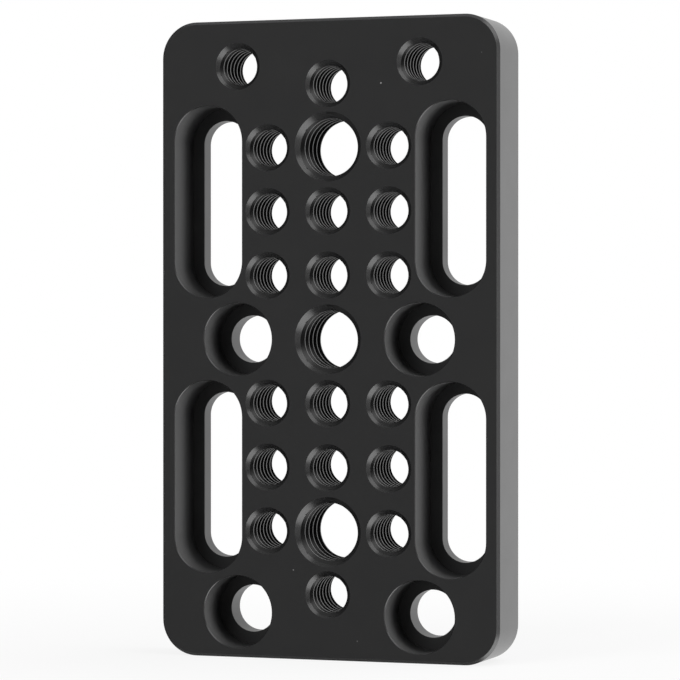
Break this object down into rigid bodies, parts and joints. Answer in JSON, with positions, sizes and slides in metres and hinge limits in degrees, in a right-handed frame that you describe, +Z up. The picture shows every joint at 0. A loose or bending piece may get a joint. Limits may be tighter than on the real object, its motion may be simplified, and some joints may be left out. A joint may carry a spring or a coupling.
{
  "type": "cheese plate",
  "caption": "Flat rounded metal mounting plate with a grid of threaded holes, counterbored screw holes and long counterbored slots for fixing camera accessories.",
  "frame": {"origin": "middle of the lower short end, at its lowest, halfway through the thickness", "axes": "+X to the right seen from the stepped front, +Y from the front face to the back face, +Z up along the plate"},
  "size_m": [0.049, 0.0094, 0.088],
  "materials": {
    "plate": "black anodised, satin"
  },
  "bodies": {
    "root": {"cheese_plate": "plate"}
  },
  "joints": []
}
